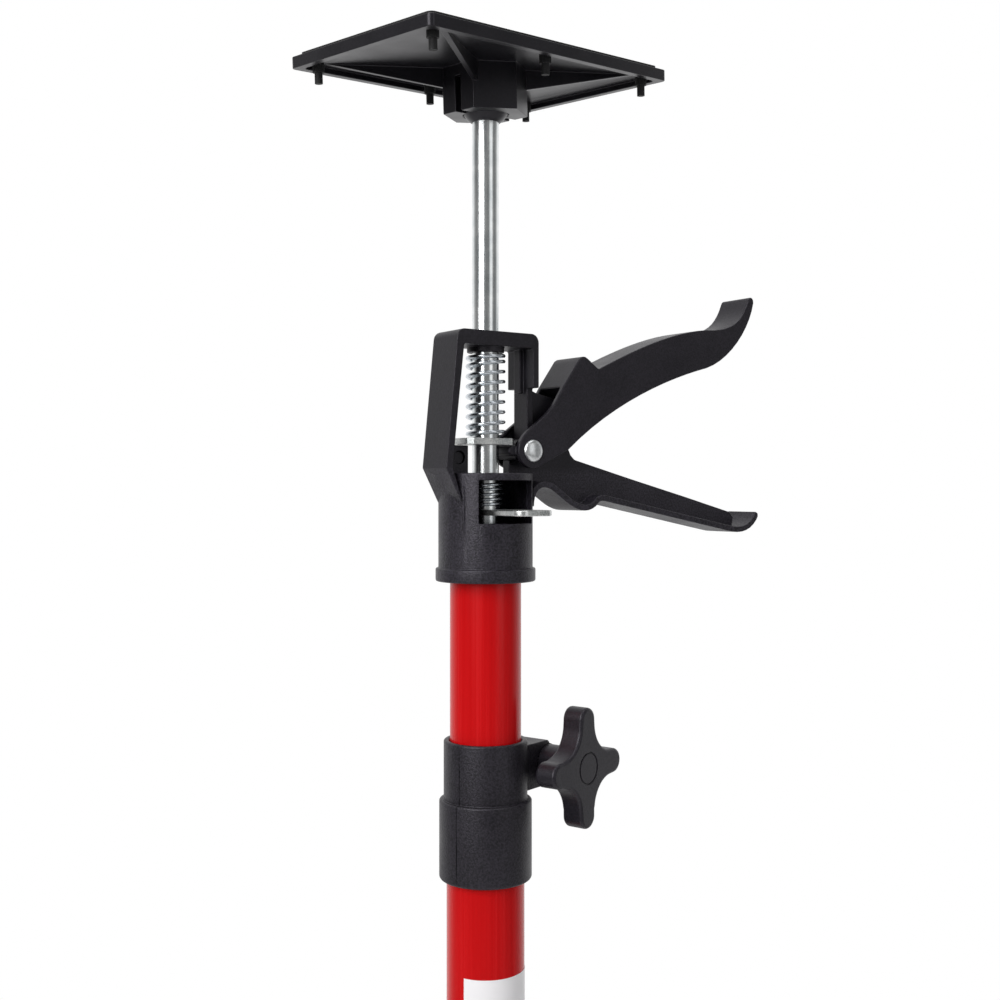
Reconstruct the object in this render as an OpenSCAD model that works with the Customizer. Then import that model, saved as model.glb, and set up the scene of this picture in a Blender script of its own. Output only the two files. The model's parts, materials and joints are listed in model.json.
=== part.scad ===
// Telescopic support pole for drywall sheets: two nested steel tubes, a clamp collar with a star knob,
// a lever clamp that jacks a round rod upwards, and a swivelling plate at each end.
// Origin: centre of the foot pad's underside, on the pole's axis. +Z up, +X towards the two handles.
// Units are millimetres. The pole stands as photographed: tubes nearly closed, rod part way out.

/* [Swivel plates] */
// Length of the head plate and of the foot plate
plate_l = 147; // [120:1:180]
// Width of the plates
plate_w = 91; // [78:1:110]
// Height of the rim round a plate
plate_rim_h = 5; // [4:0.5:8]
// Thickness of a plate's skin
plate_skin = 2.5; // [2:0.25:3.5]
// Width of the flat rim round a plate
plate_rim_w = 4; // [3:0.5:6]
// Thickness of a diagonal rib under a plate
plate_rib_t = 2.4; // [1.6:0.2:4]
// Drop of a diagonal rib where it meets the hub
plate_rib_drop = 6.2; // [4:0.2:14]
// Corner radius of a plate
plate_corner_r = 2.5; // [1:0.5:6]
// Corner radius of the hexagonal socket hub
hub_r = 19.6; // [18:0.2:24]
// Depth of the hub below the rim's lower edge
hub_h = 17.8; // [16:0.2:20]
// Width of the two slits that let the socket snap over its ball
hub_slit_w = 3.4; // [2:0.2:5]
// Radius of a swivel ball
ball_r = 11.5; // [10.5:0.25:13]
// Distance from a ball's centre to the rim's lower edge
ball_under_rim = 11.6; // [11:0.2:13]

/* [Rubber pads] */
// Height of a rubber pad over its plate
pad_t = 1.8; // [1.2:0.2:4]
// Step between a plate's edge and its pad
pad_inset = 3; // [2:0.5:6]
// Radius of a pad's peg above its shoulder
peg_r = 2.6; // [2:0.1:3.5]
// Radius of a peg's thinner tail
peg_tail_r = 1.75; // [1.2:0.05:2]
// Length of a peg below the rim's lower edge
peg_drop = 6.5; // [4:0.5:9]
// Length of a peg's thick part below the rim's lower edge
peg_shoulder = 1.8; // [0.5:0.1:3]
// Distance of the pegs from a plate's long edges
peg_edge_w = 8.5; // [8:0.5:12]
// Distance of the outer pegs from a plate's short edges
peg_edge_l = 8.7; // [8:0.1:14]

/* [Foot] */
// Distance from the foot ball's centre to the tube plug
foot_neck = 22; // [20:0.5:40]
// Thickness of the tube plug's flange
plug_flange_t = 5; // [3:0.5:10]
// Radius of the tube plug's flange
plug_flange_r = 19.5; // [18.5:0.5:24]
// Length of the tube plug inside the tube
plug_depth = 30; // [20:1:60]
// Depth of the foot stud in the tube plug
stud_seat = 20; // [12:1:24]
// Radius of the screws that hold the balls
ball_screw_r = 3; // [2:0.25:3]
// Length of a ball screw
ball_screw_l = 18; // [12:1:30]

/* [Tubes] */
// Outer radius of the lower tube
lower_tube_r = 17.5; // [17.5:0.1:18]
// Outer radius of the upper tube
upper_tube_r = 16; // [15:0.1:16]
// Wall of both tubes
tube_wall = 1.2; // [0.8:0.05:1.25]
// Length of the lower tube
lower_tube_l = 937.3; // [700:0.1:1200]
// Free length between the foot plug and the guide bush, with the pole as photographed
bush_drop = 82.7; // [70:0.1:300]
// Length of upper tube that shows between the collar and the clamp
upper_out = 71; // [60:1:400]
// Height of the guide bush below the upper tube
bush_rim_h = 6; // [4:0.5:12]
// Length of the guide bush inside the upper tube
bush_plug_h = 28; // [15:1:50]

/* [Clamp collar] */
// Height of the collar's wide part
collar_sock_h = 35.6; // [30:0.1:60]
// Height of the collar's narrow part
collar_neck_h = 26.5; // [24:0.1:40]
// Wall of the collar round the lower tube
collar_sock_wall = 3.3; // [2:0.1:5]
// Wall of the collar round the upper tube
collar_neck_wall = 2.8; // [2.2:0.1:4]
// Height of the shoulder that stops the lower tube
collar_shoulder = 2.2; // [1.5:0.1:5]
// Height of the two lugs that the knob pulls together
lug_h = 20.6; // [18:0.2:24]
// Distance from the middle of the slit to the front lug's face
lug_front = 15; // [12:0.2:20]
// Distance from the middle of the slit to the back lug's face
lug_back = 13; // [11:0.5:18]
// Reach of the lugs' square part beside the pole
lug_reach = 29; // [25:0.1:34]
// Radius of the lugs' round nose about the knob's stud
lug_nose_r = 8.8; // [8.8:0.1:10]
// Width of the slit between the lugs
slit_w = 2; // [1:0.2:4]

/* [Star knob] */
// Direction of the knob about the pole, from the handles
knob_azimuth = -72; // [-120:1:-50]
// Distance from the pole's axis to the knob's stud
knob_offset = 27.1; // [26.4:0.1:32]
// Radius of the knob over its arms
knob_r = 27.2; // [22:0.1:34]
// Radius of the rounded end of an arm
knob_tip_r = 5.6; // [4:0.1:7]
// Radius of the knob's waist between two arms
knob_waist_r = 14; // [10:0.1:15]
// Thickness of the star
knob_t = 10.6; // [7:0.1:16]
// Radius of the hub behind the star
knob_hub_r = 8.4; // [8:0.1:10]
// Length of the hub behind the star
knob_hub_h = 11.7; // [8:0.1:24]
// Turn of the star as it stands
knob_turn = 0; // [0:1:45]
// Radius of the ring groove in the knob's face
knob_ring_r = 7; // [6:0.1:9]
// Radius of the knob's stud
stud_r = 4; // [3:0.1:4]

/* [Clamp housing] */
// Radius of the housing's barrel
barrel_r = 21.2; // [20.5:0.1:23]
// Height of the barrel
barrel_h = 48.2; // [47.5:0.1:50]
// Radius of the flange round the barrel's mouth
barrel_flange_r = 22.45; // [22:0.05:25]
// Height of that flange
barrel_flange_h = 6; // [3:0.5:10]
// Depth of the socket for the upper tube
socket_depth = 22; // [15:0.5:22]
// Width of the release window
window_w = 28.2; // [24:0.2:32]
// Thickness of the frame's strap
frame_wall = 3.3; // [2.6:0.1:4]
// Width of the frame's strap and of the trigger
frame_w = 20; // [18:0.5:24]
// Height of the frame's top over the tube socket's mouth
frame_top = 111.2; // [110:0.1:130]
// Thickness of the frame's top bar
top_bar_t = 6.5; // [4:0.1:8]
// Distance from the rod's axis to the frame's right face
frame_right = 22.6; // [21.5:0.1:26]
// Distance from the rod's axis to the frame's left face, at the top
frame_left = 21.4; // [20:0.1:24]
// Width that the left side gains down to its bend
frame_flare = 5.8; // [3:0.1:9]
// Thickness of the central web
web_t = 4.8; // [3:0.2:6]
// Width of the leg's flange
leg_w = 10.4; // [8:0.2:12]

/* [Fixed handle] */
// Reach of the fixed handle from the pivot
handle_reach = 144; // [110:1:160]
// Drop of the fixed handle below the pivot
handle_drop = 37.2; // [33:0.1:44]
// Thickness of the fixed handle's flange
handle_flange_t = 2.8; // [2:0.1:4]

/* [Trigger] */
// Distance from the rod's axis to the pivot
pivot_x = 19.2; // [19:0.1:22]
// Height of the pivot over the tube socket's mouth
pivot_z = 58.4; // [58:0.1:59]
// Reach of the trigger from the pivot
trigger_reach = 141; // [110:1:160]
// Rise of the trigger's tip over the pivot
trigger_rise = 80.5; // [70:0.5:95]
// Radius of the trigger's round end
trigger_end_r = 8; // [7.6:0.1:8]
// Wall of the trigger's channel
trigger_wall = 2.5; // [1.6:0.1:3]
// Number of ribs inside the trigger
trigger_ribs = 4; // [1:1:6]
// Radius of the pivot rivet's shank
rivet_r = 2.5; // [2:0.1:3]
// Radius of the rivet's domed head
rivet_head_r = 5.1; // [4:0.1:6]
// Height of the rivet's domed head
rivet_head_h = 2.1; // [1.5:0.1:3]

/* [Rod and plates] */
// Radius of the rod
rod_r = 6; // [5:0.1:6]
// Free length between the guide bush and the rod's lower end, with the pole as photographed
rod_drop = 109.1; // [82:0.1:300]
// Distance from the frame's top to the head ball's centre
rod_out = 103.9; // [60:0.1:300]
// Thickness of the drive plate
grip_t = 3; // [2:0.1:3.2]
// Thickness of the release lever
lever_t = 2.5; // [2:0.1:3.2]
// Width of the drive plate
drive_w = 18; // [16:0.5:19]
// Reach of the drive plate on the side of the handles
drive_right = 11; // [10:0.1:11.4]
// Reach of the drive plate on the other side
drive_left = 14.5; // [13:0.1:16]
// Width of the release lever
lever_w = 19; // [16:0.5:22]
// Reach of the release lever in front of the rod
lever_reach = 39.5; // [30:0.5:50]

/* [Springs] */
// Outer radius of the drive spring
drive_spring_r = 9; // [8.5:0.1:9.4]
// Wire radius of the drive spring
drive_wire_r = 0.85; // [0.5:0.05:0.9]
// Turns of the drive spring
drive_turns = 9; // [8:0.5:9.5]
// Outer radius of the release spring
release_spring_r = 7.9; // [7.7:0.1:8.6]
// Wire radius of the release spring
release_wire_r = 0.55; // [0.4:0.05:0.6]
// Turns of the release spring
release_turns = 5.5; // [4:0.5:6]

/* [Photographed pose] */
// Turn of the head plate about the rod
head_yaw = 10; // [-90:1:90]
// Lean of the head plate about its length
head_lean_l = 2.2; // [-6:0.1:6]
// Lean of the head plate about its width
head_lean_w = -4.1; // [-6:0.1:6]

/* [Hidden] */

$fn = 96;
// Radial clearance of a running fit
run_fit = 0.08;
// Radial clearance of a piece pressed or glued in place
seat_fit = 0.02;
// Gap between pieces that rest on each other
rest_gap = 0.3;
// Overrun of a cut past the face that it leaves
cut = 1;

// Heights over the floor
foot_ball_z = pad_t + plate_rim_h + ball_under_rim;
plug_z = foot_ball_z + foot_neck;
lower_tube_z = plug_z + plug_flange_t;
lower_tube_top = lower_tube_z + lower_tube_l;
collar_z = lower_tube_top + collar_shoulder - collar_sock_h;
collar_step_z = collar_z + collar_sock_h;
collar_top = collar_step_z + collar_neck_h;
housing_z = collar_top + upper_out;
upper_tube_top = housing_z + socket_depth;
upper_tube_z = lower_tube_z + plug_depth + bush_drop + bush_rim_h + rest_gap;
upper_tube_l = upper_tube_top - upper_tube_z;
pole_pivot_z = housing_z + pivot_z;
head_ball_z = housing_z + frame_top + rod_out;

// Tubes, plug and bush
lower_bore_r = lower_tube_r - tube_wall;
upper_bore_r = upper_tube_r - tube_wall;
bush_rim_r = lower_bore_r - run_fit;
bush_wall = 2.5;

// Rod: its top end sits inside the head ball
rod_seat = 4;
rod_top = head_ball_z + rod_seat;
rod_z = upper_tube_z + bush_plug_h + rod_drop;
rod_l = rod_top - rod_z;
rod_hole_r = rod_r + run_fit;
rod_chamfer = 1;
stop_pin_r = 1.5;
stop_height = 12;
stop_washer_t = 2;
stop_washer_r = upper_bore_r - 1.3;

// Ball screws
ball_screw_head_r = 5.2;
ball_screw_head_h = 3.2;
ball_cap_flat = 7.6;

// Collar
collar_sock_r = lower_tube_r + collar_sock_wall;
collar_neck_r = upper_tube_r + collar_neck_wall;
collar_bore_r = upper_tube_r + run_fit;
collar_lip = 1.2;
knob_z = collar_step_z + collar_neck_h / 2;
lug_corner_r = 2.3;
nut_w = 13;
nut_t = 6.5;
stud_past_nut = 3;
knob_washer_r = 7.4;
knob_washer_t = 1;
knob_back = lug_front + rest_gap + knob_hub_h;
knob_socket = knob_t * 0.6;
knob_ring_depth = 0.6;
knob_ring_w = 0.8;

// Barrel, seen from its mouth upwards
barrel_bore_r = upper_tube_r + seat_fit;
cavity_r = barrel_r - 3.2;
floor_t = 3.7;
cavity_z = socket_depth + floor_t;
cavity_top = barrel_h - 3.2;
window_z = cavity_z + 0.3;
window_top = cavity_top;
lever_z = cavity_z + 3.9;
lever_top = lever_z + lever_t;
lever_hole_r = rod_r + 0.4;
lever_back = cavity_r - 0.8;
fulcrum_y = cavity_r - 3;
fulcrum_w = 12;
lever_corner_r = 4.5;

// Frame over the barrel
frame_corner_r = 4;
bend_z = barrel_h + 2.2;
spine_lean = atan2(frame_flare, frame_top - frame_corner_r - bend_z);
spine_foot_x = barrel_r - 3.1;
spine_foot_z = barrel_h - 15;
spine_bend_x = frame_left + frame_flare;
drive_z = pivot_z + 2.4;
drive_top = drive_z + grip_t;
drive_hole_r = rod_r + 0.3;
drive_corner = 2.5;
seat_boss_r = 8.4;
seat_boss_h = 2.5;
seat_z = frame_top - top_bar_t - seat_boss_h;
hood_z = frame_top - 24.3;
hood_rib_t = 2;
hood_rib_drop = 2.2;
heel_x = 10.9;
heel_hole_r = 2.8;
heel_hole_depth = 1.4;
heel_hole_x = heel_x + 4.6;
heel_hole_z = barrel_h + 6.9;

// Trigger and its pivot
cheek_gap = frame_w - 2 * trigger_wall;
pivot_boss_r = 5.5;
pivot_boss_w = cheek_gap - 0.3;
rivet_tail_r = 4.2;
rivet_tail_h = 1.6;
rivet_reach = frame_w / 2 + 0.1;
nose_arm = pivot_x - drive_right + 1.4;
nose_r = drive_z - pivot_z - rest_gap;
bridge_r = pivot_boss_r + 0.6;
hollow_r = 34.2;

// Overlap that joins two parts of one moulding
weld = 0.5;

function bezier(a, b, c, d, n) = [for (i = [0 : n]) let (t = i / n, s = 1 - t)
    s * s * s * a + 3 * s * s * t * b + 3 * s * t * t * c + t * t * t * d];
function arc(c, r, from, to, n) = [for (i = [0 : n]) let (t = from + (to - from) * i / n)
    c + r * [cos(t), sin(t)]];
function scaled(points, sx, sz) = [for (p = points) [p[0] * sx, p[1] * sz]];
function back(points) = [for (i = [len(points) - 1 : -1 : 0]) points[i]];
function unit(v) = v / norm(v);
// Outline of a strap of thickness t whose middle runs along the points
function strap(points, t) = let (n = len(points), off = [for (i = [0 : n - 1])
    let (d = unit(points[min(i + 1, n - 1)] - points[max(i - 1, 0)])) [-d[1], d[0]] * t / 2])
    concat([for (i = [0 : n - 1]) points[i] + off[i]], back([for (i = [0 : n - 1]) points[i] - off[i]]));

// Extrudes an outline drawn in X and Z to the width w about the middle plane
module across(w) {
    rotate([90, 0, 0])
        linear_extrude(height = w, center = true)
            children();
}

// A cylinder along Y about the middle plane
module pin_across(r, w) {
    rotate([90, 0, 0])
        cylinder(r = r, h = w, center = true);
}

// Turns +Z to the knob's direction and +Y to the lugs' direction, at the knob's height
module at_knob() {
    translate([0, 0, knob_z])
        rotate([0, 0, knob_azimuth])
            rotate([0, 90, 0])
                children();
}

// The same, moved out to the stud's axis
module at_stud() {
    at_knob()
        translate([0, knob_offset, 0])
            children();
}

// Places the head plate's pieces as they stand in the photograph
module at_head() {
    translate([0, 0, head_ball_z])
        rotate([0, 0, head_yaw])
            rotate([head_lean_l, 0, 0])
                rotate([0, head_lean_w, 0])
                    children();
}

// Places the foot plate's pieces, pad down
module at_foot() {
    translate([0, 0, foot_ball_z])
        rotate([180, 0, 0])
            children();
}

module rounded_plate(l, w, r, h) {
    linear_extrude(height = h)
        union() {
            square([l - 2 * r, w], center = true);
            square([l, w - 2 * r], center = true);
            for (x = [-1, 1], y = [-1, 1])
                translate([x * (l / 2 - r), y * (w / 2 - r)])
                    circle(r = r, $fn = 48);
        }
}

module peg_places() {
    for (x = [-1, 0, 1], y = [-1, 1])
        translate([x * (plate_l / 2 - peg_edge_l), y * (plate_w / 2 - peg_edge_w), 0])
            children();
}

// Rubber pad with its six pegs, pushed through the plate; the ball's centre is the origin
module pad_shape() {
    top = ball_under_rim + plate_rim_h;
    translate([0, 0, top])
        rounded_plate(plate_l - 2 * pad_inset, plate_w - 2 * pad_inset, plate_corner_r, pad_t);
    peg_places() {
        translate([0, 0, ball_under_rim - peg_drop])
            cylinder(r = peg_tail_r, h = top - ball_under_rim + peg_drop + weld, $fn = 24);
        translate([0, 0, ball_under_rim - peg_shoulder])
            cylinder(r = peg_r, h = peg_shoulder + plate_rim_h - plate_skin - rest_gap, $fn = 24);
    }
}

// One of the four diagonal ribs from a corner of the plate down to the hub
module plate_rib(x, y) {
    reach = norm([plate_l / 2 - peg_edge_l, plate_w / 2 - peg_edge_w]) - peg_r - 2 * rest_gap;
    rib_points = [[0, plate_rim_h - plate_skin + weld], [reach, plate_rim_h - plate_skin + weld],
        [reach, plate_rim_h - plate_skin], [hub_r - 1, -plate_rib_drop], [0, -plate_rib_drop]];
    translate([0, 0, ball_under_rim])
        rotate([0, 0, atan2(y * plate_w, x * plate_l)])
            across(plate_rib_t)
                polygon(rib_points);
}

// Moulded swivel plate: rim, skin, ribs and the slit hexagonal socket
module plate_shape() {
    top = ball_under_rim + plate_rim_h;
    difference() {
        union() {
            difference() {
                translate([0, 0, ball_under_rim])
                    rounded_plate(plate_l, plate_w, plate_corner_r, plate_rim_h);
                translate([0, 0, ball_under_rim - cut])
                    rounded_plate(plate_l - 2 * plate_rim_w, plate_w - 2 * plate_rim_w, plate_corner_r,
                        plate_rim_h - plate_skin + cut);
            }
            for (x = [-1, 1], y = [-1, 1])
                plate_rib(x, y);
            translate([0, 0, ball_under_rim - hub_h])
                rotate([0, 0, 30])
                    cylinder(r = hub_r, h = hub_h + plate_rim_h - plate_skin + weld, $fn = 6);
        }
        sphere(r = ball_r + run_fit);
        translate([0, 0, ball_under_rim - hub_h - cut])
            cylinder(r1 = ball_r - 0.2, r2 = ball_r - 2.2, h = 2 + cut);
        translate([0, 0, ball_under_rim - hub_h - cut])
            linear_extrude(height = hub_h - ball_under_rim + cut + ball_r * 0.8)
                square([2 * hub_r + cut, hub_slit_w], center = true);
        peg_places()
            translate([0, 0, ball_under_rim + plate_rim_h - plate_skin - cut])
                cylinder(r = peg_tail_r + run_fit, h = plate_skin + 2 * cut, $fn = 24);
    }
}

// Ball with its bore for the rod or stud and a flat for the screw head
module ball_shape() {
    difference() {
        sphere(r = ball_r);
        translate([0, 0, ball_cap_flat])
            cylinder(r = ball_r, h = ball_r);
        translate([0, 0, -ball_r - cut])
            cylinder(r = rod_hole_r, h = ball_r + cut + rod_seat + rest_gap);
        cylinder(r = ball_screw_r + seat_fit, h = ball_r);
    }
}

// Pan-head screw that holds the ball on the end of its rod or stud
module ball_screw_shape() {
    translate([0, 0, ball_cap_flat + seat_fit])
        rotate_extrude()
            polygon(concat([[0, 0], [ball_screw_head_r, 0]],
                arc([ball_screw_head_r - 2, ball_screw_head_h - 2], 2, 0, 90, 6), [[0, ball_screw_head_h]]));
    translate([0, 0, ball_cap_flat - ball_screw_l])
        cylinder(r = ball_screw_r, h = ball_screw_l + weld);
}

module foot_pad() {
    color([0.12, 0.12, 0.13])
        at_foot()
            pad_shape();
}

module foot_plate() {
    color([0.2, 0.2, 0.21])
        at_foot()
            plate_shape();
}

module foot_ball() {
    color([0.24, 0.24, 0.25])
        at_foot()
            ball_shape();
}

module foot_ball_screw() {
    color([0.75, 0.75, 0.77])
        at_foot()
            ball_screw_shape();
}

// Short pin that carries the foot ball under the tube plug
module foot_stud() {
    stud_z = foot_ball_z - rod_seat;
    color([0.78, 0.79, 0.8])
        difference() {
            translate([0, 0, stud_z])
                cylinder(r = rod_r, h = plug_z + stud_seat - stud_z);
            translate([0, 0, stud_z - cut])
                cylinder(r = ball_screw_r + seat_fit, h = ball_screw_l - ball_cap_flat + rod_seat + 2 * cut);
        }
}

// Plastic plug that closes the lower tube and holds the foot stud
module foot_plug() {
    color([0.2, 0.2, 0.21])
        difference() {
            union() {
                translate([0, 0, plug_z])
                    rotate_extrude()
                        polygon(concat([[0, 0]], arc([plug_flange_r - 1, 1], 1, -90, 0, 6),
                            arc([plug_flange_r - 1, plug_flange_t - 1], 1, 0, 90, 6), [[0, plug_flange_t]]));
                translate([0, 0, lower_tube_z - weld])
                    cylinder(r = lower_bore_r - seat_fit, h = plug_depth + weld);
            }
            translate([0, 0, plug_z - cut])
                cylinder(r = rod_r + seat_fit, h = stud_seat + cut);
            translate([0, 0, plug_z + stud_seat + 2])
                cylinder(r = lower_bore_r - 3, h = plug_depth);
        }
}

module lower_tube() {
    color([0.75, 0.08, 0.08])
        translate([0, 0, lower_tube_z])
            difference() {
                cylinder(r = lower_tube_r, h = lower_tube_l);
                translate([0, 0, -cut])
                    cylinder(r = lower_bore_r, h = lower_tube_l + 2 * cut);
            }
}

module upper_tube() {
    color([0.75, 0.08, 0.08])
        translate([0, 0, upper_tube_z])
            difference() {
                cylinder(r = upper_tube_r, h = upper_tube_l);
                translate([0, 0, -cut])
                    cylinder(r = upper_bore_r, h = upper_tube_l + 2 * cut);
            }
}

// Bush that guides the upper tube inside the lower one
module guide_bush() {
    color([0.3, 0.3, 0.32])
        translate([0, 0, upper_tube_z])
            difference() {
                union() {
                    translate([0, 0, -bush_rim_h - rest_gap])
                        cylinder(r = bush_rim_r, h = bush_rim_h);
                    translate([0, 0, -rest_gap - weld])
                        cylinder(r = upper_bore_r - run_fit, h = bush_plug_h + rest_gap + weld);
                }
                translate([0, 0, -bush_rim_h - rest_gap - cut])
                    cylinder(r = upper_bore_r - bush_wall, h = bush_rim_h + bush_plug_h + rest_gap + 2 * cut);
            }
}

// One lug of the collar's neck: a square block with a round nose about the stud
module lug(h) {
    side = lug_h / 2;
    linear_extrude(height = h)
        union() {
            polygon(concat([[-side, 0]],
                arc([lug_corner_r - side, lug_reach - lug_corner_r], lug_corner_r, 180, 90, 8),
                arc([side - lug_corner_r, lug_reach - lug_corner_r], lug_corner_r, 90, 0, 8),
                [[side, 0]]));
            translate([0, knob_offset])
                circle(r = lug_nose_r);
        }
}

// Collar: a wide sleeve glued to the lower tube and a slit neck round the upper one, with two lugs
module clamp_collar() {
    inner = [[lower_tube_r + seat_fit, 0], [lower_tube_r + seat_fit, collar_sock_h - collar_shoulder],
        [collar_bore_r, collar_sock_h - collar_shoulder]];
    mouth = arc([collar_bore_r + collar_lip, collar_sock_h + collar_neck_h - collar_lip], collar_lip, 180, 90, 6);
    rim = arc([collar_neck_r - 1, collar_sock_h + collar_neck_h - 1], 1, 90, 0, 6);
    step = concat([[collar_neck_r, collar_sock_h]], arc([collar_sock_r - 1, collar_sock_h - 1], 1, 90, 0, 6));
    base = arc([collar_sock_r - 1.5, 1.5], 1.5, 0, -90, 6);
    color([0.2, 0.2, 0.21])
        difference() {
            union() {
                translate([0, 0, collar_z])
                    rotate_extrude()
                        polygon(concat(inner, mouth, rim, step, base));
                difference() {
                    at_knob()
                        translate([0, 0, -lug_back])
                            lug(lug_front + lug_back);
                    translate([0, 0, collar_step_z - cut])
                        cylinder(r = collar_bore_r + weld, h = collar_neck_h + 2 * cut);
                }
            }
            at_knob()
                translate([-collar_neck_h / 2 - cut, collar_bore_r - collar_lip, -slit_w / 2])
                    cube([collar_neck_h + cut, 2 * knob_offset, slit_w]);
            at_stud()
                translate([0, 0, -lug_back - cut])
                    cylinder(r = stud_r + rest_gap, h = lug_back + lug_front + 2 * cut);
            at_stud()
                translate([0, 0, -lug_back - cut])
                    cylinder(r = nut_w / sqrt(3) + seat_fit, h = nut_t + cut, $fn = 6);
            at_stud()
                translate([0, 0, lug_front - knob_washer_t])
                    cylinder(r = knob_washer_r + rest_gap, h = knob_washer_t + cut);
        }
}

// Hexagonal nut held by the back lug
module collar_nut() {
    color([0.72, 0.72, 0.74])
        at_stud()
            translate([0, 0, -lug_back])
                difference() {
                    cylinder(r = nut_w / sqrt(3), h = nut_t - seat_fit, $fn = 6);
                    translate([0, 0, -cut])
                        cylinder(r = stud_r + run_fit, h = nut_t + 2 * cut);
                }
}

// Threaded stud that the knob turns; it draws the two lugs together
module knob_stud() {
    color([0.72, 0.72, 0.74])
        at_stud()
            translate([0, 0, -lug_back - stud_past_nut])
                cylinder(r = stud_r, h = lug_back + stud_past_nut + knob_back + knob_socket);
}

// Star outline with four arms
module star() {
    difference() {
        union() {
            circle(r = knob_waist_r + knob_tip_r);
            for (a = [0 : 90 : 270])
                rotate(a) {
                    translate([knob_r - knob_tip_r, 0])
                        circle(r = knob_tip_r, $fn = 48);
                    translate([0, -knob_tip_r])
                        square([knob_r - knob_tip_r, 2 * knob_tip_r]);
                }
        }
        for (a = [45 : 90 : 315])
            rotate(a)
                translate([2 * knob_waist_r, 0])
                    circle(r = knob_waist_r);
    }
}

// Washer between the knob's hub and the front lug, let into the lug
module knob_washer() {
    color([0.72, 0.72, 0.74])
        at_stud()
            translate([0, 0, lug_front - knob_washer_t + rest_gap / 2])
                difference() {
                    cylinder(r = knob_washer_r, h = knob_washer_t);
                    translate([0, 0, -cut])
                        cylinder(r = stud_r + run_fit, h = knob_washer_t + 2 * cut);
                }
}

module star_knob() {
    color([0.2, 0.2, 0.21])
        at_stud()
            difference() {
                union() {
                    translate([0, 0, knob_back - knob_hub_h])
                        cylinder(r = knob_hub_r, h = knob_hub_h + weld);
                    translate([0, 0, knob_back])
                        rotate([0, 0, knob_turn])
                            linear_extrude(height = knob_t)
                                star();
                }
                translate([0, 0, knob_back - knob_hub_h - cut])
                    cylinder(r = stud_r + run_fit, h = knob_hub_h + cut + knob_socket + run_fit);
                translate([0, 0, knob_back + knob_t - knob_ring_depth])
                    difference() {
                        cylinder(r = knob_ring_r + knob_ring_w / 2, h = cut + knob_ring_depth);
                        cylinder(r = knob_ring_r - knob_ring_w / 2, h = cut + knob_ring_depth);
                    }
            }
}

// Barrel: socket for the upper tube, floor with the rod's bore, and the chamber of the release lever
module barrel() {
    difference() {
        rotate_extrude()
            polygon(concat([[0, 0]], arc([barrel_flange_r - 0.8, 0.8], 0.8, -90, 0, 4),
                arc([barrel_flange_r - 0.8, barrel_flange_h - 0.8], 0.8, 0, 90, 4),
                [[barrel_r, barrel_flange_h]], arc([barrel_r - 0.6, barrel_h - 0.6], 0.6, 0, 90, 4),
                [[0, barrel_h]]));
        translate([0, 0, -cut])
            cylinder(r = barrel_bore_r, h = socket_depth + cut);
        translate([0, 0, -cut])
            cylinder(r = rod_hole_r, h = barrel_h + 2 * cut);
        difference() {
            translate([0, 0, cavity_z])
                cylinder(r = cavity_r, h = cavity_top - cavity_z);
            translate([-fulcrum_w / 2, fulcrum_y, cavity_z - cut])
                cube([fulcrum_w, barrel_r, lever_z - rest_gap - cavity_z + cut]);
        }
        translate([-window_w / 2, -barrel_r - cut, window_z])
            cube([window_w, barrel_r + cut, window_top - window_z]);
    }
}

// Outer outline of the frame, from the right face round over the top to the spine's foot
function frame_outer() = concat([[frame_right, hood_z]],
    arc([frame_right - frame_corner_r, frame_top - frame_corner_r], frame_corner_r, 0, 90, 8),
    arc([frame_corner_r - frame_left, frame_top - frame_corner_r], frame_corner_r, 90, 180 - spine_lean, 8),
    [[-spine_bend_x, bend_z], [-spine_foot_x, spine_foot_z]]);

// Inner outline of the frame: it runs back up inside the spine and round to the right face
function frame_inner() = concat([[weld - spine_foot_x, spine_foot_z], [frame_wall - spine_bend_x, bend_z]],
    arc([frame_wall + 1.2 - frame_left, frame_top - top_bar_t - 1], 1, 180 - spine_lean, 90, 4),
    arc([frame_right - frame_wall - 1, frame_top - top_bar_t - 1], 1, 90, 0, 4),
    [[frame_right - frame_wall, hood_z]]);

// Middle line of the fixed handle's flange, as shares of the handle's reach and drop
handle_arch_shares = bezier([-0.005, -0.672], [-0.005, -0.43], [0.042, -0.336], [0.092, -0.47], 10);
handle_dip_shares = bezier([0.141, -0.597], [0.176, -0.688], [0.218, -0.742], [0.25, -0.65], 8);
handle_heel_shares = bezier([0.255, -0.63], [0.268, -0.575], [0.282, -0.57], [0.303, -0.588], 5);
handle_lip_shares = bezier([0.85, -0.995], [0.92, -1.055], [0.968, -1.01], [0.997, -0.8], 8);
handle_web_top_shares = [[0.929, -0.86], [0.911, -0.785], [0.694, -0.57], [0.446, -0.333], [0.208, -0.097],
    [0.192, -0.04], [0.182, 0.038]];

function handle_line() = scaled(concat(handle_arch_shares, handle_dip_shares, handle_heel_shares,
    handle_lip_shares), handle_reach, handle_drop);

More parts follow.
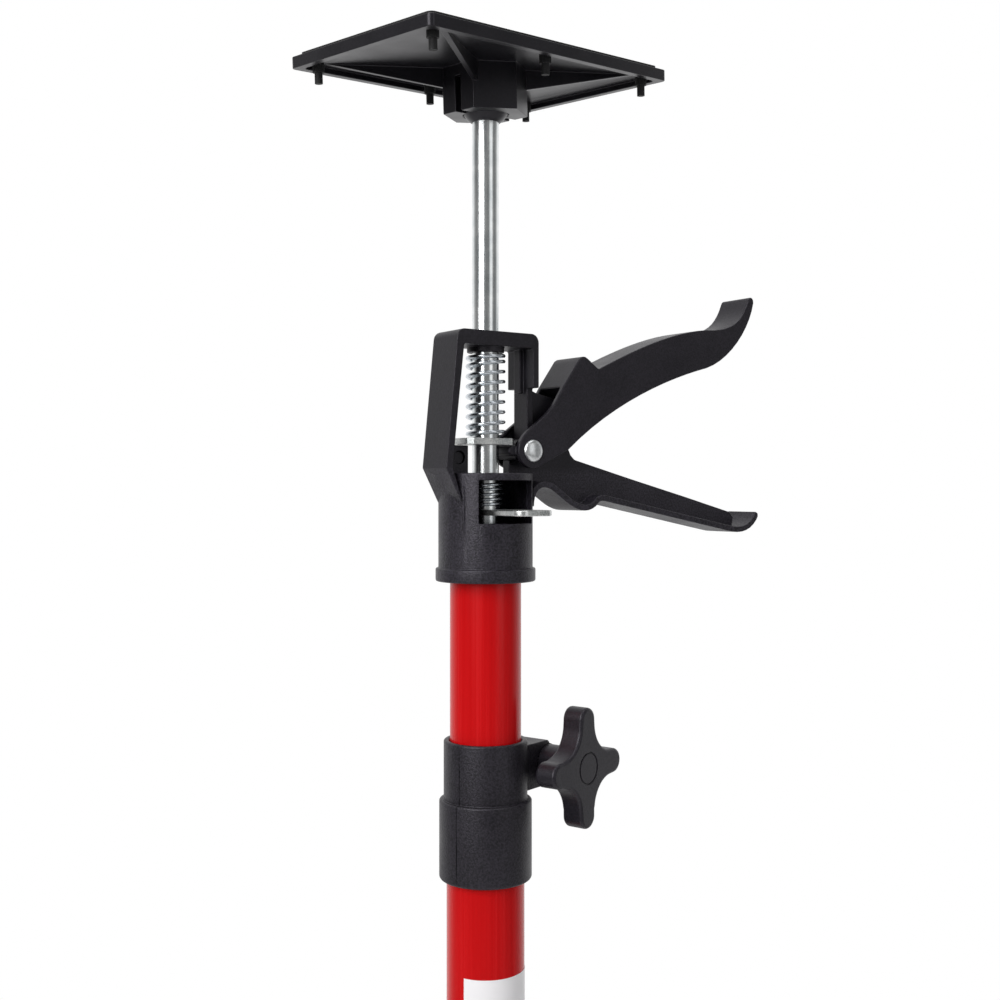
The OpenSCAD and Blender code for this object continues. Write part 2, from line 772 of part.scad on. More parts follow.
// Web between the barrel, the leg, the pivot and the fixed handle; the pivot is the origin
module web_outline() {
    foot = barrel_h - pivot_z;
    leg_top = frame_top - top_bar_t - pivot_z + weld;
    leg_in = frame_right - frame_wall - pivot_x;
    leg_out = frame_right - pivot_x;
    fin_r = hollow_r - 3.4;
    fin_top = hood_z - pivot_z + weld;
    line = handle_line();
    below = [for (p = back(line)) if (p[0] < handle_reach * 0.93 && p[0] > barrel_r - pivot_x) p];
    polygon(concat(
        [[leg_in + weld, leg_top], [leg_out - weld, leg_top], [leg_out - weld, fin_top]],
        bezier([leg_out, fin_top], [leg_out + 2.4, fin_top - 3], [fin_r * 0.5, fin_r * 0.84],
            fin_r * [cos(49), sin(49)], 7),
        arc([0, 0], fin_r, 45, 24, 4),
        back(scaled(handle_web_top_shares, handle_reach, handle_drop)),
        below,
        [[0, foot - 2 * cut], [heel_x + 0.2 - pivot_x, foot - cut], [heel_x + 0.2 - pivot_x, -4],
        [-6.2, -6.2], [-3.9, -3.9], [0, 0], [leg_in + weld, pivot_boss_r]]));
}

module clamp_housing() {
    leg_in = frame_right - frame_wall;
    color([0.2, 0.2, 0.21])
        translate([0, 0, housing_z])
            difference() {
                union() {
                    barrel();
                    across(frame_w)
                        polygon(concat(frame_outer(), frame_inner()));
                    translate([0, 0, seat_z])
                        cylinder(r = seat_boss_r, h = seat_boss_h + weld);
                    translate([0, 0, pivot_z])
                        across(leg_w)
                            translate([leg_in, 0])
                                square([frame_wall, frame_top - top_bar_t - pivot_z + weld]);
                    across(web_t)
                        translate([leg_in - hood_rib_t, hood_z - hood_rib_drop])
                            square([hood_rib_t + weld, frame_top - top_bar_t - hood_z + hood_rib_drop + weld]);
                    across(web_t)
                        polygon([[frame_wall / 2 - spine_bend_x, barrel_h - cut], [-heel_x, barrel_h - cut],
                            [-heel_x, drive_z - rest_gap], [frame_wall / 2 - spine_bend_x, drive_z - rest_gap]]);
                    translate([pivot_x, 0, pivot_z]) {
                        across(web_t)
                            web_outline();
                        pin_across(pivot_boss_r, pivot_boss_w);
                        intersection() {
                            across(frame_w)
                                polygon(strap(handle_line(), handle_flange_t));
                            translate([handle_reach / 2 + barrel_r - pivot_x - 2, 0, 0])
                                cube([handle_reach, frame_w, 4 * handle_drop], center = true);
                        }
                    }
                }
                translate([0, 0, seat_z - cut])
                    cylinder(r = rod_hole_r, h = frame_top - seat_z + 2 * cut);
                translate([pivot_x, 0, pivot_z])
                    pin_across(rivet_r + seat_fit, frame_w);
                for (y = [-1, 1])
                    translate([-heel_hole_x, y * web_t / 2, heel_hole_z])
                        pin_across(heel_hole_r, 2 * heel_hole_depth);
                translate([0, 0, -cut])
                    cylinder(r = barrel_bore_r, h = socket_depth + cut);
                translate([0, 0, lever_z - rest_gap])
                    cylinder(r = cavity_r, h = cavity_top - lever_z + rest_gap);
            }
}

// Outline of the trigger round the pivot, as shares of its reach and rise
trigger_front_shares = bezier([-0.0489, 0.05], [-0.032, 0.124], [0.028, 0.149], [0.084, 0.261], 6);
trigger_block_shares = [[0.124, 0.373], [0.183, 0.516], [0.192, 0.537], [0.203, 0.549], [0.215, 0.55],
    [0.226, 0.54], [0.27, 0.486]];
trigger_back_shares = bezier([0.276, 0.487], [0.44, 0.621], [0.603, 0.739], [0.766, 0.77], 12);
trigger_hook_shares = bezier([0.766, 0.77], [0.894, 0.776], [0.94, 0.845], [0.972, 0.985], 10);
trigger_tip_shares = [[0.975, 0.994], [0.98, 1.002], [0.987, 1.003], [0.994, 0.998], [0.998, 0.985]];
trigger_curl_shares = bezier([0.999, 0.969], [0.979, 0.795], [0.879, 0.594], [0.766, 0.533], 10);
trigger_belly_shares = bezier([0.766, 0.533], [0.58, 0.452], [0.333, 0.286], [0.144, 0.008], 12);

function trigger_outline() = concat(arc([0, 0], trigger_end_r, -65, -210, 16),
    scaled(concat(trigger_front_shares, trigger_block_shares, trigger_back_shares, trigger_hook_shares,
        trigger_tip_shares, trigger_curl_shares, trigger_belly_shares), trigger_reach, trigger_rise));

// Channel inside the trigger: under its back, open below
function trigger_channel() = concat(
    [for (p = scaled(trigger_back_shares, trigger_reach, trigger_rise)) p - [0, trigger_wall * 1.1]],
    [for (p = scaled(trigger_belly_shares, trigger_reach, trigger_rise)) p - [0, trigger_wall]]);

module trigger() {
    color([0.18, 0.18, 0.19])
        translate([pivot_x, 0, pole_pivot_z])
            difference() {
                union() {
                    difference() {
                        across(frame_w)
                            polygon(trigger_outline());
                        across(cheek_gap)
                            circle(r = hollow_r);
                        across(cheek_gap)
                            intersection() {
                                polygon(trigger_channel());
                                translate([hollow_r / 2, -trigger_rise])
                                    square([trigger_reach * 0.76 - hollow_r / 2, 3 * trigger_rise]);
                            }
                    }
                    intersection() {
                        across(frame_w)
                            polygon(trigger_outline());
                        for (i = [1 : trigger_ribs])
                            translate([hollow_r + (trigger_reach * 0.76 - hollow_r) * i / (trigger_ribs + 1), 0,
                                trigger_rise / 2])
                                cube([trigger_wall * 0.7, cheek_gap + weld, trigger_rise], center = true);
                    }
                    across(cheek_gap + weld)
                        difference() {
                            union() {
                                polygon(concat(arc([0, 0], trigger_end_r - 0.1, 148, 212, 6), [[0, 0]]));
                                translate([-nose_arm, 0])
                                    circle(r = nose_r);
                                translate([-nose_arm, -nose_r])
                                    square([nose_arm - bridge_r, 2 * nose_r]);
                            }
                            circle(r = bridge_r);
                        }
                }
                pin_across(rivet_r + run_fit, frame_w + 2 * cut);
            }
}

// Rivet through the trigger's cheeks and the web, with a domed head to the front
module pivot_rivet() {
    color([0.8, 0.81, 0.82])
        translate([pivot_x, 0, pole_pivot_z])
            rotate([90, 0, 0])
                rotate_extrude()
                    polygon(concat([[0, -rivet_reach - rivet_tail_h]],
                        [[rivet_tail_r * 0.7, -rivet_reach - rivet_tail_h]],
                        [[rivet_tail_r, -rivet_reach - rivet_tail_h * 0.5], [rivet_tail_r, -rivet_reach]],
                        [[rivet_r, -rivet_reach], [rivet_r, rivet_reach]],
                        [for (p = arc([0, 0], 1, 0, 90, 10))
                            [rivet_head_r * p[0], rivet_reach + rivet_head_h * p[1]]]));
}

module push_rod() {
    color([0.78, 0.79, 0.8])
        difference() {
            translate([0, 0, rod_z])
                rotate_extrude()
                    polygon([[0, 0], [rod_r - rod_chamfer, 0], [rod_r, rod_chamfer], [rod_r, rod_l], [0, rod_l]]);
            translate([0, 0, head_ball_z - ball_screw_l + ball_cap_flat - cut])
                cylinder(r = ball_screw_r + seat_fit, h = ball_screw_l + cut);
            translate([0, 0, rod_z + stop_height])
                pin_across(stop_pin_r + seat_fit, 4 * rod_r);
        }
}

// Washer and cross pin near the rod's lower end stop it under the housing's floor
module rod_stop_washer() {
    color([0.72, 0.72, 0.74])
        translate([0, 0, rod_z + stop_height + stop_pin_r + seat_fit])
            difference() {
                cylinder(r = stop_washer_r, h = stop_washer_t);
                translate([0, 0, -cut])
                    cylinder(r = rod_r + seat_fit, h = stop_washer_t + 2 * cut);
            }
}

module rod_stop_pin() {
    color([0.72, 0.72, 0.74])
        translate([0, 0, rod_z + stop_height])
            pin_across(stop_pin_r, 2 * stop_washer_r - 2);
}

// Plate that grips the rod when the trigger's nose lifts its right end
module drive_plate() {
    half = drive_w / 2;
    color([0.75, 0.76, 0.77])
        translate([0, 0, housing_z + drive_z])
            difference() {
                linear_extrude(height = grip_t)
                    polygon([[-drive_left + drive_corner, -half], [drive_right - drive_corner, -half],
                        [drive_right, drive_corner - half], [drive_right, half - drive_corner],
                        [drive_right - drive_corner, half], [-drive_left + drive_corner, half],
                        [-drive_left, half - drive_corner], [-drive_left, drive_corner - half]]);
                translate([0, 0, -cut])
                    cylinder(r = drive_hole_r, h = grip_t + 2 * cut);
            }
}

// Plate that holds the rod until its front end is lifted
module release_lever() {
    color([0.75, 0.76, 0.77])
        translate([0, 0, housing_z + lever_z])
            difference() {
                intersection() {
                    linear_extrude(height = lever_t)
                        union() {
                            translate([-lever_w / 2, lever_corner_r - lever_reach])
                                square([lever_w, lever_reach - lever_corner_r + cavity_r]);
                            translate([lever_corner_r - lever_w / 2, -lever_reach])
                                square([lever_w - 2 * lever_corner_r, lever_reach]);
                            for (x = [-1, 1])
                                translate([x * (lever_w / 2 - lever_corner_r), lever_corner_r - lever_reach])
                                    circle(r = lever_corner_r, $fn = 32);
                        }
                    translate([0, 0, -cut])
                        union() {
                            cylinder(r = lever_back, h = lever_t + 2 * cut);
                            translate([-lever_w, -lever_reach - cut, 0])
                                cube([2 * lever_w, lever_reach + cut, lever_t + 2 * cut]);
                        }
                }
                translate([0, 0, -cut])
                    cylinder(r = lever_hole_r, h = lever_t + 2 * cut);
            }
}

// Height of a spring's wire at the turn t: the first and last turns lie close, the rest are even
function coil_z(t, turns, h, close) = let (open = (h - 2 * close) / (turns - 2))
    t < 1 ? close * t : t > turns - 1 ? h - close * (turns - t) : close + open * (t - 1);

// Rings of points round a helical wire, six to a ring and eight rings to a turn
ring_turns = 8;
ring_sides = 6;
function coil_ring(t, r, wire, turns, h, close) = let (a = 360 * t, c = [cos(a), sin(a), 0],
    lift = coil_z(min(t + 0.05, turns), turns, h, close) - coil_z(max(t - 0.05, 0), turns, h, close),
    along = unit([-sin(a) * r * 0.2 * PI, cos(a) * r * 0.2 * PI, lift]), up = cross(c, along))
    [for (k = [0 : ring_sides - 1]) let (b = 360 * k / ring_sides)
        c * r + [0, 0, coil_z(t, turns, h, close)] + wire * (cos(b) * c + sin(b) * up)];
function coil_points(r, wire, turns, h, close) = [for (i = [0 : turns * ring_turns])
    coil_ring(i / ring_turns, r, wire, turns, h, close)];
function flat(rings) = [for (ring = rings) for (p = ring) p];

// Least distance between the points of one turn and those of the next
function coil_gap(rings) = min([for (i = [0 : len(rings) - 1 - ring_turns])
    min([for (p = rings[i]) min([for (q = rings[i + ring_turns]) norm(p - q)])])]);

// One unbroken wire; r_mid is the radius of the wire's middle line
module coil(r_mid, wire, turns, h) {
    close = 2 * wire + 0.55;
    rings = coil_points(r_mid, wire, turns, h - 2 * wire, close);
    last = len(rings) - 1;
    sides = [for (i = [0 : last - 1]) for (k = [0 : ring_sides - 1])
        let (a = i * ring_sides + k, b = i * ring_sides + (k + 1) % ring_sides)
            each [[a, b + ring_sides, b], [a, a + ring_sides, b + ring_sides]]];
    start = [for (k = [1 : ring_sides - 2]) [0, k, k + 1]];
    end = [for (k = [1 : ring_sides - 2]) [last * ring_sides, last * ring_sides + k + 1, last * ring_sides + k]];
    echo(spring_gap = coil_gap(rings));
    translate([0, 0, wire])
        polyhedron(points = flat(rings), faces = concat(sides, start, end), convexity = 8);
}

module drive_spring() {
    color([0.8, 0.81, 0.82])
        translate([0, 0, housing_z + drive_top + rest_gap / 2])
            coil(drive_spring_r - drive_wire_r, drive_wire_r, drive_turns, seat_z - drive_top - rest_gap);
}

module release_spring() {
    color([0.8, 0.81, 0.82])
        translate([0, 0, housing_z + lever_top + rest_gap / 2])
            coil(release_spring_r - release_wire_r, release_wire_r, release_turns,
                cavity_top - lever_top - rest_gap);
}

module head_ball() {
    color([0.24, 0.24, 0.25])
        translate([0, 0, head_ball_z])
            ball_shape();
}

module head_ball_screw() {
    color([0.75, 0.75, 0.77])
        translate([0, 0, head_ball_z])
            ball_screw_shape();
}

module head_plate() {
    color([0.2, 0.2, 0.21])
        at_head()
            plate_shape();
}

module head_pad() {
    color([0.12, 0.12, 0.13])
        at_head()
            pad_shape();
}

foot_pad();
foot_plate();
foot_ball();
foot_ball_screw();
foot_stud();
foot_plug();
lower_tube();
clamp_collar();
collar_nut();
knob_stud();
knob_washer();
star_knob();
guide_bush();
upper_tube();
clamp_housing();
pivot_rivet();
trigger();
push_rod();
rod_stop_washer();
rod_stop_pin();
drive_plate();
drive_spring();
release_lever();
release_spring();
head_ball();
head_ball_screw();
head_plate();
head_pad();
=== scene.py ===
import json
from math import cos, pi, radians, sin

import bmesh
import bpy
from mathutils import Matrix, Vector


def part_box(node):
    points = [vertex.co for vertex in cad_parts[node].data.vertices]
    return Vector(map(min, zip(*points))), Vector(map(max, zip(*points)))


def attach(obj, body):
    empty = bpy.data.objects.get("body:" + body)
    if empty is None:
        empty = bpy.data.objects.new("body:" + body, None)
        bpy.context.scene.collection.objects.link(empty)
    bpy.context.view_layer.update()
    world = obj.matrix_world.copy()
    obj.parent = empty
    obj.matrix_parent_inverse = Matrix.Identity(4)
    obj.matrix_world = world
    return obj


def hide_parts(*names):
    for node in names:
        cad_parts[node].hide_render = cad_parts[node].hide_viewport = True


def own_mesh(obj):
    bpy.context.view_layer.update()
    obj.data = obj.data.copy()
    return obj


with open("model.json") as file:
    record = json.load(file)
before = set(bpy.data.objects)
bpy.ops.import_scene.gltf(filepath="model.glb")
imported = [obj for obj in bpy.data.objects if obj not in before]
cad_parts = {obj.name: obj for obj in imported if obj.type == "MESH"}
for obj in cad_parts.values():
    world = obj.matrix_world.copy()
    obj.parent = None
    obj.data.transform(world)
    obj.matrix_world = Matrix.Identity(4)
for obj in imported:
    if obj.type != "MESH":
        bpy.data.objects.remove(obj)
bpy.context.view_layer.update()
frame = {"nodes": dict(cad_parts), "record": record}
MM = 0.001
scene = bpy.context.scene

# Camera: level, in front and to the left of the handles' broadside, at the height of the clamp.
EYE_TURN = 35
EYE_DISTANCE = 584 * MM
EYE_OFFSET = 6.5 * MM
EYE_HEIGHT = 1124.9 * MM
LENS_MM, SENSOR_MM = 46.8, 36
HORIZON_SHIFT = -0.014
look = Vector((sin(radians(EYE_TURN)), cos(radians(EYE_TURN)), 0))
right = Vector((look.y, -look.x, 0))
camera = bpy.data.objects.new("camera", bpy.data.cameras.new("camera"))
scene.collection.objects.link(camera)
camera.data.lens = LENS_MM
camera.data.sensor_width = SENSOR_MM
camera.data.shift_y = HORIZON_SHIFT
camera.data.clip_start = 20 * MM
camera.location = EYE_OFFSET * right - EYE_DISTANCE * look + Vector((0, 0, EYE_HEIGHT))
camera.rotation_euler = look.to_track_quat("-Z", "Y").to_euler()
scene.camera = camera
scene.view_settings.view_transform = "Standard"


def linear(code):
    """A colour written as sRGB hex, in linear light."""
    parts = [int(code[i:i + 2], 16) / 255 for i in (1, 3, 5)]
    return (*[c / 12.92 if c <= 0.04045 else ((c + 0.055) / 1.055) ** 2.4 for c in parts], 1)


def add(tree, kind, inputs=(), out=0, **settings):
    """Adds a node with its settings, links or sets its inputs, and gives one of its outputs.

    The inputs are the node's first ones in their order, or a dict by their names or numbers.
    """
    node = tree.nodes.new(kind)
    for name, value in settings.items():
        setattr(node, name, value)
    for key, value in inputs.items() if isinstance(inputs, dict) else enumerate(inputs):
        if isinstance(value, bpy.types.NodeSocket):
            tree.links.new(value, node.inputs[key])
        else:
            node.inputs[key].default_value = value
    return node.outputs[out]


def surface(name, **values):
    """A new material with its shader's plain values, and its node tree and shader."""
    made = bpy.data.materials.new(name)
    made.use_nodes = True
    shader = made.node_tree.nodes["Principled BSDF"]
    for key, value in values.items():
        shader.inputs[key.replace("_", " ")].default_value = value
    return made, made.node_tree, shader


def lead(tree, shader, **patterns):
    """Links patterns to the shader's inputs of the same names."""
    for key, pattern in patterns.items():
        tree.links.new(pattern, shader.inputs[key.replace("_", " ")])


# A pattern that isn't drawn out, and the stretch of a pattern's values in which nearly all of it lies
EVEN = (1, 1, 1)
USUAL = (0.3, 0.7)


def own_place(tree, stretch=EVEN):
    """Where a point lies in the space of its piece, in metres; a stretch under 1 draws a pattern out."""
    at = add(tree, "ShaderNodeTexCoord", out="Object")
    return add(tree, "ShaderNodeMapping", {"Vector": at, "Scale": stretch})


def patches(tree, size, stretch=EVEN, detail=2.0, rough=0.55):
    """Soft patches of about the given size, in metres, in the space of a piece."""
    inputs = {"Vector": own_place(tree, stretch), "Scale": 1 / size, "Detail": detail, "Roughness": rough}
    return add(tree, "ShaderNodeTexNoise", inputs)


# The flow marks of a moulding, the stretch of its grain that makes the crests, and how the grain gets less
# where the mould was smoother
FLOW_SIZE = 18 * MM
CRESTS = (0.36, 0.64)
SMOOTH_FADE = 3 * MM
SMOOTH_SHARE = 0.3
# A parting line: its tone, its dark core and its edge, how fast it ends at the pole's axis, how large its
# worn places are and how faint they get
LINE_TONE = "#040405"
LINE_CORE, LINE_EDGE, LINE_END = 0.1 * MM, 0.4 * MM, 1 * MM
WORN_SIZE = 9 * MM
WORN_SHARE, CLEAR_SHARE = 0.25, 0.9


def parting_line(tree, turn):
    """How clearly a fine line shows along the piece at an azimuth: more in some places than in others."""
    inputs = {"Vector": own_place(tree), "Angle": -radians(turn)}
    turned = add(tree, "ShaderNodeVectorRotate", inputs, rotation_type="Z_AXIS")
    outwards, aside = add(tree, "ShaderNodeSeparateXYZ", (turned,)).node.outputs[:2]
    distance = add(tree, "ShaderNodeMath", (aside,), operation="ABSOLUTE")
    near = add(tree, "ShaderNodeMapRange", (distance, LINE_CORE, LINE_EDGE, 1, 0))
    front = add(tree, "ShaderNodeMapRange", (outwards, 0, LINE_END, 0, 1))
    worn = add(tree, "ShaderNodeMapRange", (patches(tree, WORN_SIZE), 0.35, 0.6, WORN_SHARE, CLEAR_SHARE))
    clear = add(tree, "ShaderNodeMath", (front, worn), operation="MULTIPLY")
    return add(tree, "ShaderNodeMath", (near, clear), operation="MULTIPLY")


def moulded_plastic(name, dark, light, rough, grain, depth, parting=None, smooth_above=None):
    """Injection-moulded plastic: a spark-eroded grain whose crests are paler, and faint flow marks.

    Real grain is finer than this: it is drawn as coarse as it needs to show. parting is the azimuth of a
    parting line, and above the height smooth_above the mould was left smoother.
    """
    made, tree, shader = surface(name, IOR=1.46, Specular_Tint=(0.95, 0.92, 1, 1))
    flow = patches(tree, FLOW_SIZE)
    relief = add(tree, "ShaderNodeMapRange", (patches(tree, grain), *CRESTS, 0, 1))
    if smooth_above:
        height = add(tree, "ShaderNodeSeparateXYZ", (own_place(tree),), "Z")
        inputs = (height, smooth_above, smooth_above + SMOOTH_FADE, 1.0, SMOOTH_SHARE)
        left = add(tree, "ShaderNodeMapRange", inputs)
        relief = add(tree, "ShaderNodeMath", (relief, left), operation="MULTIPLY")
    drift = add(tree, "ShaderNodeMapRange", (flow, *USUAL, -0.15, 0.15))
    shade = add(tree, "ShaderNodeMath", (relief, drift), operation="ADD")
    colour = add(tree, "ShaderNodeMix", {0: shade, 6: linear(dark), 7: linear(light)}, 2, data_type="RGBA")
    if parting is not None:
        line = parting_line(tree, parting)
        inputs = {0: line, 6: colour, 7: linear(LINE_TONE)}
        colour = add(tree, "ShaderNodeMix", inputs, 2, data_type="RGBA")
        lead(tree, shader, Specular_IOR_Level=add(tree, "ShaderNodeMapRange", (line, 0, 1, 0.5, 0.05)))
    gloss = add(tree, "ShaderNodeMapRange", (flow, *USUAL, rough - 0.04, rough + 0.04))
    uneven = add(tree, "ShaderNodeBump", {"Height": relief, "Distance": depth, "Strength": 1.0})
    lead(tree, shader, Base_Color=colour, Roughness=gloss, Normal=uneven)
    return made


DRAWN_SIZE, DRAWN_DEPTH = 1.6 * MM, 0.008 * MM
PEEL_SIZE, PEEL_DEPTH = 2.2 * MM, 0.015 * MM


def powder_coat(name, dark, light):
    """Glossy powder coat on a drawn tube: orange peel, and faint lines along the tube.

    The lines of a drawn tube are finer than these: they are drawn as coarse as they need to show.
    """
    made, tree, shader = surface(name, IOR=1.45, Specular_IOR_Level=0.22)
    lines = patches(tree, DRAWN_SIZE, (1, 1, 0.01))
    peel = patches(tree, PEEL_SIZE, detail=1.0)
    share = add(tree, "ShaderNodeMapRange", (lines, *USUAL, 0, 1))
    colour = add(tree, "ShaderNodeMix", {0: share, 6: linear(dark), 7: linear(light)}, 2, data_type="RGBA")
    gloss = add(tree, "ShaderNodeMapRange", (lines, *USUAL, 0.2, 0.3))
    drawn = add(tree, "ShaderNodeBump", {"Height": lines, "Distance": DRAWN_DEPTH, "Strength": 1.0})
    inputs = {"Height": peel, "Distance": PEEL_DEPTH, "Strength": 1.0, "Normal": drawn}
    uneven = add(tree, "ShaderNodeBump", inputs)
    lead(tree, shader, Base_Color=colour, Roughness=gloss, Normal=uneven)
    return made


CLOUD_SIZE = 9 * MM


def zinc_plate(name, dark, light, rough, stretch, size, depth):
    """Bright zinc plate on drawn or pressed steel: cool patches over the steel's fine lines or grain.

    Real lines and grain are finer than these: they are drawn as coarse as they need to show.
    """
    made, tree, shader = surface(name, Metallic=1.0)
    cloud = patches(tree, CLOUD_SIZE, detail=3.0)
    lines = patches(tree, size, stretch, 3.0, 0.6)
    both = add(tree, "ShaderNodeMath", (lines, cloud), operation="ADD")
    share = add(tree, "ShaderNodeMapRange", (both, 0.75, 1.25, 0, 1))
    colour = add(tree, "ShaderNodeMix", {0: share, 6: linear(dark), 7: linear(light)}, 2, data_type="RGBA")
    gloss = add(tree, "ShaderNodeMapRange", (lines, *USUAL, rough - 0.04, rough + 0.06))
    uneven = add(tree, "ShaderNodeBump", {"Height": lines, "Distance": depth, "Strength": 1.0})
    lead(tree, shader, Base_Color=colour, Roughness=gloss, Normal=uneven)
    return made


RUBBER_GRAIN, RUBBER_DEPTH = 0.5 * MM, 0.03 * MM


def soft_rubber(name, dark, light):
    """Moulded rubber: dull, and slightly uneven in tone.

    Its real grain is finer than this: it is drawn as coarse as it needs to show.
    """
    made, tree, shader = surface(name, IOR=1.52)
    grain = patches(tree, RUBBER_GRAIN, detail=3.0)
    colour = add(tree, "ShaderNodeMix", {0: grain, 6: linear(dark), 7: linear(light)}, 2, data_type="RGBA")
    gloss = add(tree, "ShaderNodeMapRange", (grain, *USUAL, 0.68, 0.8))
    uneven = add(tree, "ShaderNodeBump", {"Height": grain, "Distance": RUBBER_DEPTH, "Strength": 1.0})
    lead(tree, shader, Base_Color=colour, Roughness=gloss, Normal=uneven)
    return made


FIBRE_SIZE, FIBRE_DEPTH = 0.7 * MM, 0.006 * MM


def bare_paper(name, tone):
    """Coated label stock, printed with nothing: even, slightly glossy, with a trace of the paper's fibre.

    Real fibre is finer than this: it is drawn as coarse as it needs to show.
    """
    made, tree, shader = surface(name, IOR=1.48)
    shader.inputs["Base Color"].default_value = linear(tone)
    fibre = patches(tree, FIBRE_SIZE)
    gloss = add(tree, "ShaderNodeMapRange", (fibre, *USUAL, 0.38, 0.48))
    uneven = add(tree, "ShaderNodeBump", {"Height": fibre, "Distance": FIBRE_DEPTH, "Strength": 1.0})
    lead(tree, shader, Roughness=gloss, Normal=uneven)
    return made


# Height at which the clamp housing's barrel ends, and azimuth at which the collar's mould parted
BARREL_TOP = 1130.6 * MM
PARTING_TURN = 198
# Each material slot's finish, with what it gives the eye
FINISHES = {
    # A tube's stoved powder coat: an even, glossy red
    "red_tube": powder_coat("powder_coat_red", "#BC080C", "#C81014"),
    # Polyamide from a coarsely spark-eroded mould: matt black with fine paler crests
    "black_moulding": moulded_plastic("grained_polyamide", "#08070B", "#29262E", 0.44, 0.8 * MM, 0.045 * MM),
    # The same from a finer mould: satin black, its grain barely seen
    "satin_moulding": moulded_plastic("satin_polyamide", "#0C0B10", "#1F1C23", 0.42, 0.7 * MM, 0.02 * MM),
    # The same from a smooth mould: even black with clear highlights
    "gloss_moulding": moulded_plastic("smooth_polyamide", "#0D0C10", "#151418", 0.34, 0.9 * MM, 0.0015 * MM),
    # Turned and formed steel under zinc: cool silver with short lines
    "zinc": zinc_plate("zinc_plated_steel", "#B4B9BC", "#E2E5E6", 0.24, (1, 1, 0.1), 0.5 * MM, 0.003 * MM),
    # Spring wire under zinc: a little brighter, with grain in place of lines
    "spring_steel": zinc_plate("zinc_plated_wire", "#BEC4CA", "#E6EBF0", 0.22, EVEN, 0.5 * MM, 0.003 * MM),
    # Moulded rubber: nearly black, and dull
    "rubber": soft_rubber("moulded_rubber", "#0E0E0F", "#151516"),
    # Natural acetal: a plain off-white
    "pale_plastic": moulded_plastic("plain_acetal", "#B9B9B2", "#C6C6BF", 0.45, 0.5 * MM, 0.01 * MM),
}
# Pieces whose finish differs from that of their slot, with what it gives the eye
OWN_FINISH = {
    # Coarse grain on the barrel, and less of it on the frame above
    "clamp_housing": moulded_plastic("grained_polyamide_barrel", "#07060A", "#2D2A32", 0.44,
                                     0.8 * MM, 0.06 * MM, smooth_above=BARREL_TOP),
    # Coarse grain, and the dark parting line of the collar's mould
    "clamp_collar": moulded_plastic("grained_polyamide_parted", "#08070B", "#27242B", 0.46,
                                    0.8 * MM, 0.05 * MM, parting=PARTING_TURN),
    # Drawn bar: a near mirror with long faint streaks
    "push_rod": zinc_plate("drawn_bright_zinc", "#CCD1D3", "#F2F4F4", 0.22,
                           (1, 1, 0.02), 1.1 * MM, 0.004 * MM),
    # Blanked plates and a tumbled rivet: a paler silver, mottled and softer in its highlights
    "drive_plate": zinc_plate("blanked_plate_zinc", "#B4B8B8", "#F8F9F7", 0.32, EVEN, 0.7 * MM, 0.01 * MM),
    "release_lever": zinc_plate("blanked_lever_zinc", "#BEC2C2", "#FAFBF9", 0.3, EVEN, 0.7 * MM, 0.01 * MM),
    "pivot_rivet": zinc_plate("tumbled_rivet_zinc", "#CCD0D2", "#FAFBFB", 0.32, EVEN, 1.2 * MM, 0.015 * MM),
}

record = frame["record"]
BODY = {n: body for body, nodes in record["behaviour"]["bodies"].items() for n in nodes}
SLOT = {row["node"]: row["material_slot"] for row in record["subparts"]}


def new_piece(name, mesh, body, slot, finish=None):
    """A finished mesh as a piece that rides on a body and takes a finish."""
    piece = bpy.data.objects.new(name, mesh)
    scene.collection.objects.link(piece)
    mesh.materials.clear()
    mesh.materials.append(finish or FINISHES[slot])
    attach(piece, body)
    return piece


def baked(piece):
    """The evaluated mesh of a piece, which is then removed."""
    bpy.context.view_layer.update()
    graph = bpy.context.evaluated_depsgraph_get()
    mesh = bpy.data.meshes.new_from_object(piece.evaluated_get(graph), depsgraph=graph)
    bpy.data.objects.remove(piece)
    return mesh


def room(edge, face):
    """How far a face reaches inwards from the middle of one of its edges."""
    start = (edge.verts[0].co + edge.verts[1].co) / 2
    along = (edge.verts[1].co - edge.verts[0].co).normalized()
    inward = face.normal.cross(along)
    if (face.calc_center_median() - start).dot(inward) < 0:
        inward = -inward
    nearest = 1.0
    for other in face.edges:
        if other is not edge:
            a, b = [vert.co - start for vert in other.verts]
            side_a, side_b = a.dot(along), b.dot(along)
            if side_a * side_b < 0:
                share = side_a / (side_a - side_b)
                depth = (a + (b - a) * share).dot(inward)
                if depth > 0:
                    nearest = min(nearest, depth)
    return nearest


# How edges are rounded: what counts as one point, as flat and as an edge, and how far a rounding goes
SAME_POINT = 0.002 * MM
FLAT_DEGREES, EDGE_DEGREES = 0.4, 28
ROOM_SHARE = 0.42
OUTLINE_STEP = 0.45 * MM
BORDER_SHARE = 1.1
FINE_EDGE = 0.25 * MM
WELD_REACH = 0.004 * MM


